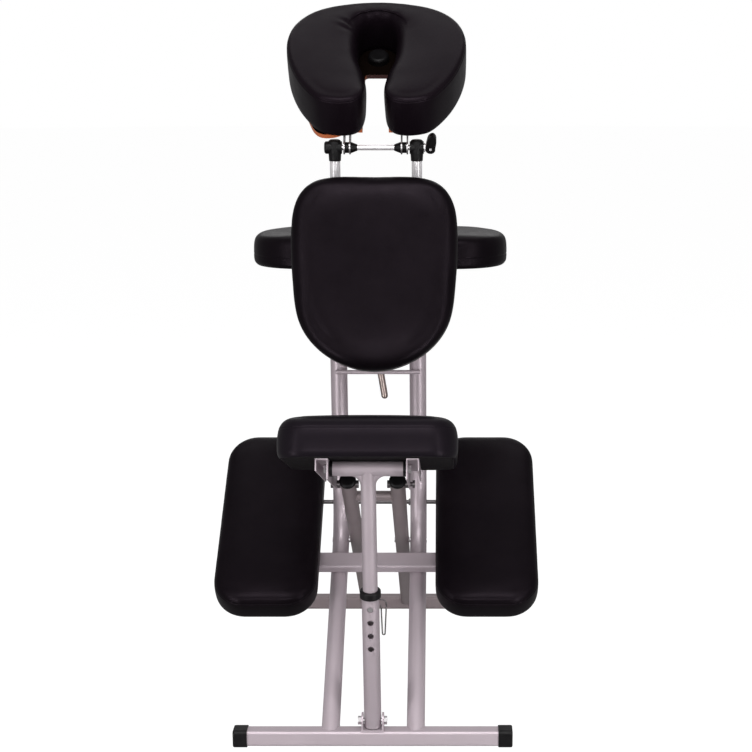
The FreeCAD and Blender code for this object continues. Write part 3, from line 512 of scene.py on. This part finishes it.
def stitched(pad, depth=1.9, pucker=0.55, seed=0.0, fade=None):
    """Adds fine rings beside the seam and presses a stitched groove, with small puckers, into it."""
    s, rings = pad.seam, pad.rings
    n = len(rings[0])
    fade = np.ones(n) if fade is None else fade
    below = [between(rings[s - 2], rings[s - 1], rings[s], rings[s + 1], t) for t in (0.5, 0.8)]
    above = [between(rings[s - 1], rings[s], rings[s + 1], rings[s + 2], t) for t in (0.2, 0.5)]
    rows = rings[: s] + below + [rings[s]] + above + rings[s + 1 :]
    at = s + 2
    arc = np.concatenate([[0], np.cumsum(np.linalg.norm(np.diff(rings[s], axis=0), axis=1))])
    rows = [r.copy() for r in rows]
    push = {at: depth, at - 1: depth * 0.28, at + 1: depth * 0.28}
    out = []
    for k, r in enumerate(rows):
        if 0 < k < len(rows) - 1 and abs(k - at) < 7:
            up = rows[k + 1] - rows[k - 1]
            side = np.roll(r, -1, 0) - np.roll(r, 1, 0)
            nrm = np.cross(side, up)
            nrm /= np.linalg.norm(nrm, axis=1)[:, None] + 1e-9
            gap = np.linalg.norm(r - rows[at], axis=1)
            wave = np.array([noise.noise(Vector((a / 9.0, k * 0.05, seed))) + 0.5 * noise.noise(Vector((a / 4.0, 3.1, seed))) for a in arc])
            move = -push.get(k, 0.0) * fade + pucker * wave * np.exp(-((gap / 9.0) ** 2)) * fade * (0.25 if k == at else 1.0)
            out.append(r + nrm * move[:, None])
        else:
            out.append(r)
    pad.rings = out
    pad.seam = at


def soften(pad, to, held, passes=40):
    """Takes small wrinkles out of the cover without shrinking it; the held vertices stay."""
    v, faces = pad.mesh(to)
    e = {tuple(sorted((f[i], f[(i + 1) % len(f)]))) for f in faces for i in range(len(f))}
    e = np.array(sorted(e))
    count = np.bincount(e.ravel(), minlength=len(v))[:, None].astype(float)
    free = np.ones((len(v), 1))
    free[held] = 0.0
    for _ in range(passes):
        for step in (0.5, -0.52):
            near = np.zeros_like(v)
            np.add.at(near, e[:, 0], v[e[:, 1]])
            np.add.at(near, e[:, 1], v[e[:, 0]])
            v = v + step * free * (near / count - v)
    pad.take(BACK[to](v))


def rows_of(profile, step=5.5, keep=None):
    """A profile of (inset, height) points divided so that no step is longer than step; returns rows and the seam's place."""
    rows, mark = [], None
    for k, (a, b) in enumerate(zip(profile[:-1], profile[1:])):
        if k == keep:
            mark = len(rows)
        n = max(1, math.ceil(math.hypot(b[0] - a[0], b[1] - a[1]) / step))
        rows += [(a[0] + (b[0] - a[0]) * t / n, a[1] + (b[1] - a[1]) * t / n) for t in range(n)]
    return rows + [profile[-1]], mark


def build(name, to, ring, na, nb, h0, skirt, profile, seam, crown, body, node, pressure=3.0, cap=4.0, seed=0.0,
          stitch=(1.3, 0.35)):
    """A boxed pad over a board: skirt is (ring on the board's edge, board thickness), profile runs from the lower edge to the top."""
    nin = inward(ring)
    rows, mark = rows_of(profile, keep=seam)
    rings = []
    if skirt is not None:
        edge, thick = skirt
        rings.append(np.column_stack([edge, np.full(len(edge), h0 + 0.2)]))
        rings.append(np.column_stack([edge, np.full(len(edge), h0 - thick * 0.5)]))
        rings.append(np.column_stack([edge, np.full(len(edge), h0 - thick + 0.3)]))
    first = len(rings)
    for d, h in rows:
        rings.append(np.column_stack([ring + nin * d, np.full(len(ring), h0 + h)]))
    pad = Pad(rings, na, nb, first + mark)
    u = np.linspace(-1, 1, na + 1)[:, None]
    v = np.linspace(-1, 1, nb + 1)[None]
    pad.top[:, :, 2] += crown * (1 - u**2) ** 0.8 * (1 - v**2) ** 0.8
    n = len(ring)
    verts, _ = pad.mesh(to)
    held = set(range(n * (first + 2))) | set(range(n * pad.seam, n * (pad.seam + 1)))
    held |= {i for k, i in pad.index.items() if k[0] == "floor"}
    held = np.array(sorted(held))
    inflate(pad, to, BACK[to], held, pressure, cap)
    soften(pad, to, held)
    stitched(pad, *stitch, seed=seed)
    return finish_pad(pad, name, to, body, node)


def finish_pad(pad, name, to, body, node):
    verts, faces = pad.mesh(to)
    o = new_object(name, verts, faces)
    o.data.shade_smooth()
    sub = o.modifiers.new("smooth", "SUBSURF")
    sub.levels = sub.render_levels = 1
    # the face pad takes the painted-sheen copy of the leather
    # the seat pad takes the painted-light copy of the leather
    o.data.materials.append({"face_cushion": FACE_LEATHER_SHEEN, "seat_cushion": SEAT_LEATHER_LIT}.get(node, LEATHER))
    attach(o, body)
    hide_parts(node)
    return o


# knee pads
LOW = [(7.4, -12.0), (5.2, -12.0), (3.0, -10.2), (1.4, -6.0), (0.5, 0.0), (0.0, 8.0), (0.0, 18.0)]
for side, sx in (("right", 1), ("left", -1)):
    x = 204.0 * sx
    dense = rounded(x - 95, x + 95, 220, 618, 58)
    q = 58 * (1 - math.sqrt(0.5))
    ring = ring_of(dense, [(x - 95 + q, 220 + q), (x + 95 - q, 220 + q), (x + 95 - q, 618 - q), (x - 95 + q, 618 - q)], 28, 62)
    edge = ring + inward(ring) * 8
    prof = LOW + [(0.3, 27.0), (1.0, 32.5), (2.6, 37.0), (6.2, 41.4), (11.5, 44.4), (18.0, 45.8), (25.0, 46.4)]
    build("knee_pad_" + side, KNEE, ring, 28, 62, 47.3, (edge, 12), prof, 8, 1.4, "main_frame", "knee_cushion_" + side, seed=3.0 + sx)

# seat pad
dense = rounded(-148, 148, -66, 196, 48)
q = 48 * (1 - math.sqrt(0.5))
ring = ring_of(dense, [(-148 + q, -66 + q), (148 - q, -66 + q), (148 - q, 196 - q), (-148 + q, 196 - q)], 46, 40)
prof = LOW + [(0.5, 27.0), (2.0, 36.0), (5.0, 43.4), (10.0, 49.4), (17.0, 53.6), (25.0, 55.8), (34.0, 56.8)]
build("seat_pad", SEAT, ring, 46, 40, 26.0, (ring + inward(ring) * 8, 12), prof, 8, 1.6, "seat", "seat_cushion", seed=11.0, stitch=(0.7, 0.25))

# chest pad
half = [(80, 177), (112, 168), (132, 150), (144.5, 122), (149, 84), (149, 35), (145, -22), (133, -86), (105, -127), (67, -154)]
shield = [(0, -171)] + [(x, y) for x, y in reversed(half)] + [(0, 178)] + [(-x, y) for x, y in half]
dense = loop(shield)
ring = ring_of(dense, [(-112, -121), (112, -121), (127, 156), (-127, 156)], 44, 50)
prof = LOW + [(0.2, 25.0), (1.0, 33.0), (2.6, 38.4), (6.6, 43.4), (12.4, 46.8), (19.0, 48.3), (26.0, 48.9)]
build("chest_pad", CHEST, ring, 44, 50, -50.0, (ring * [0.94, 0.945], 12), prof, 8, 1.4, "chest_rest", "chest_cushion", seed=21.0)

# arm pad
AY0, AY1 = 375.0, 590.0
arm_half = [(60, AY0 + 1), (130, AY0 + 7), (195, AY0 + 22), (234, AY0 + 58), (247.5, AY0 + 110), (235, AY0 + 164),
            (200, AY0 + 198), (145, AY0 + 211), (70, AY1)]
arm = [(0, AY0)] + arm_half + [(0, AY1)] + [(-x, y) for x, y in reversed(arm_half)]
dense = loop(arm)
ring = ring_of(dense, [(-220, AY0 + 40), (220, AY0 + 40), (221, AY0 + 181), (-221, AY0 + 181)], 74, 26)
ym = (AY0 + AY1) / 2
edge = np.column_stack([ring[:, 0] * 0.95, ym + (ring[:, 1] - ym) * 0.88])
prof = [(10.5, -12.0), (7.0, -12.0), (3.6, -10.2), (1.6, -6.0), (0.5, 0.0), (0.0, 9.0), (0.2, 22.0), (0.8, 32.0), (2.6, 39.0),
        (6.5, 44.6), (12.5, 48.4), (20.0, 50.4), (28.0, 51.2)]
build("arm_pad", ARM, ring, 74, 26, 801.0, (edge, 12), prof, 5, 1.2, "arm_rest", "arm_cushion", cap=2.2, seed=31.0)

# face cushion: the seam follows the outer rim, and the cover rolls into the hollow
face_out = [(48, -12), (78, -11), (98, -4), (110, 7), (124, 26), (138, 50), (152, 84), (163, 128), (165.5, 170),
            (152, 220), (113, 261), (56, 280)]
face_in = [(28, -2), (19.5, 20), (18, 56), (24.5, 92), (34, 126), (38, 168), (37, 206), (28, 235), (14, 247.5)]
shoe = (face_out + [(0, 284)] + [(-x, y) for x, y in reversed(face_out)] + [(-x, y) for x, y in face_in] + [(0, 251)]
        + [(x, y) for x, y in reversed(face_in)])
dense = loop(shoe, 2400)
NA, NB = 128, 15
ring = ring_of(dense, [(104, 1), (-104, 1), (-22, 11), (22, 11)], NA, NB)
nin = inward(ring)
n = len(ring)
inner = np.zeros(n)
c0 = NA + NB
seg = np.linalg.norm(np.diff(ring[c0 : c0 + NA + 1], axis=0), axis=1)
run = np.concatenate([[0], np.cumsum(seg)])
for k in range(NA + 1):
    near = min(run[k], run[-1] - run[k])
    t = min(1.0, max(0.0, (near - 4.0) / 55.0))
    inner[(c0 + k) % n] = t * t * (3 - 2 * t)
rows_out, mark = rows_of([(9.0, 0.2), (5.0, 0.6), (2.2, 3.0), (0.8, 8.0), (0.0, 16.0), (-0.4, 40.0), (-0.2, 68.0), (0.6, 80.0),
                          (2.4, 83.8), (6.5, 85.6), (13.0, 86.2), (20.0, 86.4)], keep=7)
rows_in, _ = rows_of([(9.0, 0.2), (5.0, 0.6), (2.2, 3.0), (0.8, 8.0), (0.0, 16.0), (-1.4, 32.0), (-2.2, 47.0), (-1.6, 59.0),
                      (0.8, 67.5), (4.4, 74.0), (9.8, 79.4), (17.0, 83.0)])


def even(rows, count):
    p = np.array(rows, float)
    d = np.concatenate([[0], np.cumsum(np.linalg.norm(np.diff(p, axis=0), axis=1))])
    t = np.linspace(0, d[-1], count)
    return np.column_stack([np.interp(t, d, p[:, 0]), np.interp(t, d, p[:, 1])])


rows_out = np.array(rows_out)
rows_in = even(rows_in, len(rows_out))
outer_side, inner_side = ring[: NA + 1], ring[c0 : c0 + NA + 1]
narrow = np.ones(n)
for j in range(n):
    other = inner_side if (j <= NA or j > c0 + NA) else outer_side
    wide = np.linalg.norm(other - ring[j], axis=1).min() if inner[j] > 0 or j <= NA else 90.0
    narrow[j] = min(1.0, (wide - 7.0) / 53.0)
for _ in range(6):
    narrow = 0.5 * narrow + 0.25 * (np.roll(narrow, 1) + np.roll(narrow, -1))
rings = []
for (d0, h0), (d1, h1) in zip(rows_out, rows_in):
    d = (d0 + (d1 - d0) * inner) * narrow
    h = h0 + (h1 - h0) * inner
    rings.append(np.column_stack([ring + nin * d[:, None], 9.0 + h]))
pad = Pad(rings, NA, NB, mark)
v = np.linspace(-1, 1, NB + 1)[None]
u = np.linspace(-1, 1, NA + 1)[:, None]
pad.top[:, :, 2] += 2.5 * (1 - v**2) * (1 - u**8)
pad.mesh(FACE)
held = set(range(n * 2)) | {n * mark + j for j in range(n) if inner[j] < 0.3}
held |= {i for k, i in pad.index.items() if k[0] == "floor"}
held = np.array(sorted(held))
inflate(pad, FACE, BACK[FACE], held, 3.0, 3.0)
soften(pad, FACE, held, 12)


def gather(p):
    """Folds of the cover where it is drawn round the top of the hollow, deeper on the left."""
    x, y = p[..., 0], p[..., 1]
    dx, dy = x, y - 182.0
    a = np.arctan2(dy, dx)
    r = np.hypot(dx / 0.78, dy)
    left = np.exp(-(((a - 2.45) / 0.42) ** 2))
    over = np.exp(-(((a - 1.35) / 0.75) ** 2))
    phase = np.vectorize(lambda t: noise.noise(Vector((t * 2.3, 5.0, 1.0))))(a)
    folds = np.sin(a * 19 + 2.2 * phase) * (0.6 + 0.4 * np.sin(a * 7 + 1.0))
    reach = np.exp(-(((r - 76.0) / 20.0) ** 2))
    return folds * reach * (3.2 * left + 0.8 * over)


pad.top[:, :, 2] += gather(pad.top)
for k in range(len(pad.rings) - 6, len(pad.rings)):
    pad.rings[k][:, 2] += gather(pad.rings[k]) * inner
stitched(pad, 1.3, 0.4, seed=41.0, fade=1 - inner)
finish_pad(pad, "face_pad", FACE, "face_cradle", "face_cushion")


# ---------------------------------------------------------------- stage
def area(name, place, aim, size, power, colour=(1, 1, 1)):
    data = bpy.data.lights.new(name, "AREA")
    data.shape = "RECTANGLE"
    data.size, data.size_y = size
    data.energy = power
    data.color = colour
    o = bpy.data.objects.new(name, data)
    o.location = place
    o.rotation_euler = (Vector(aim) - Vector(place)).to_track_quat("-Z", "Y").to_euler()
    o.visible_camera = False
    SCENE.collection.objects.link(o)
    return o


area("strip_left", (-1.62, -2.10, 1.45), (0, 0, 0.75), (0.34, 2.2), 15)
area("strip_right", (1.62, -2.10, 1.45), (0, 0, 0.75), (0.34, 2.2), 15)
area("low_left", (-0.97, -1.25, 0.03), (-0.03, 0.06, 0.62), (0.14, 0.9), 7.2)
area("low_right", (0.97, -1.25, 0.03), (0.03, 0.06, 0.62), (0.14, 0.9), 7.2)
area("front", (0.0, -2.3, 3.4), (0, 0, 0.5), (2.0, 1.2), 62)
area("fill", (0.0, -3.1, 1.0), (0, 0, 0.5), (1.4, 0.9), 20)
area("top", (0, 0.9, 3.2), (0, 0, 0.6), (2.6, 1.4), 13)
area("back", (0, 2.4, 2.2), (0, 0, 0.7), (2.4, 1.2), 14)

world = bpy.data.worlds.new("studio")
SCENE.world = world
world.use_nodes = True
back_node = next(n for n in world.node_tree.nodes if n.type == "BACKGROUND")
back_node.inputs["Color"].default_value = (1, 0.99, 1, 1)
back_node.inputs["Strength"].default_value = 0.30

fm = bpy.data.materials.new("pale_floor")
fm.use_nodes = True
ft = fm.node_tree
fb = next(n for n in ft.nodes if n.type == "BSDF_PRINCIPLED")
fb.inputs["Base Color"].default_value = (0.20, 0.20, 0.20, 1)
fb.inputs["Roughness"].default_value = 0.9
fb.inputs["Specular IOR Level"].default_value = 0.0
fb.inputs["Emission Color"].default_value = (1, 1, 1, 1)
fb.inputs["Emission Strength"].default_value = 0.93
me = bpy.data.meshes.new("floor")
# low enough to leave room for the front foot bar, which swings below foot level as the legs fold
FLOOR = -0.20
me.from_pydata([(-40, -40, FLOOR), (40, -40, FLOOR), (40, 40, FLOOR), (-40, 40, FLOOR)], [], [(0, 1, 2, 3)])
floor = bpy.data.objects.new("floor", me)
SCENE.collection.objects.link(floor)
me.materials.append(fm)
floor.visible_diffuse = False
floor.visible_glossy = False

# pale dome behind everything, seen by the camera only
bm = bmesh.new()
bmesh.ops.create_uvsphere(bm, u_segments=48, v_segments=24, radius=30.0)
me = bpy.data.meshes.new("backdrop")
bm.to_mesh(me)
bm.free()
dome = bpy.data.objects.new("backdrop", me)
SCENE.collection.objects.link(dome)
dm = bpy.data.materials.new("pale_backdrop")
dm.use_nodes = True
dt = dm.node_tree
db = next(n for n in dt.nodes if n.type == "BSDF_PRINCIPLED")
db.inputs["Base Color"].default_value = (0, 0, 0, 1)
db.inputs["Specular IOR Level"].default_value = 0.0
db.inputs["Emission Color"].default_value = (1, 1, 1, 1)
db.inputs["Emission Strength"].default_value = 1.0
me.materials.append(dm)
for ray in ("diffuse", "glossy", "transmission", "volume_scatter", "shadow"):
    setattr(dome, "visible_" + ray, False)

SCENE.view_settings.view_transform = "Standard"
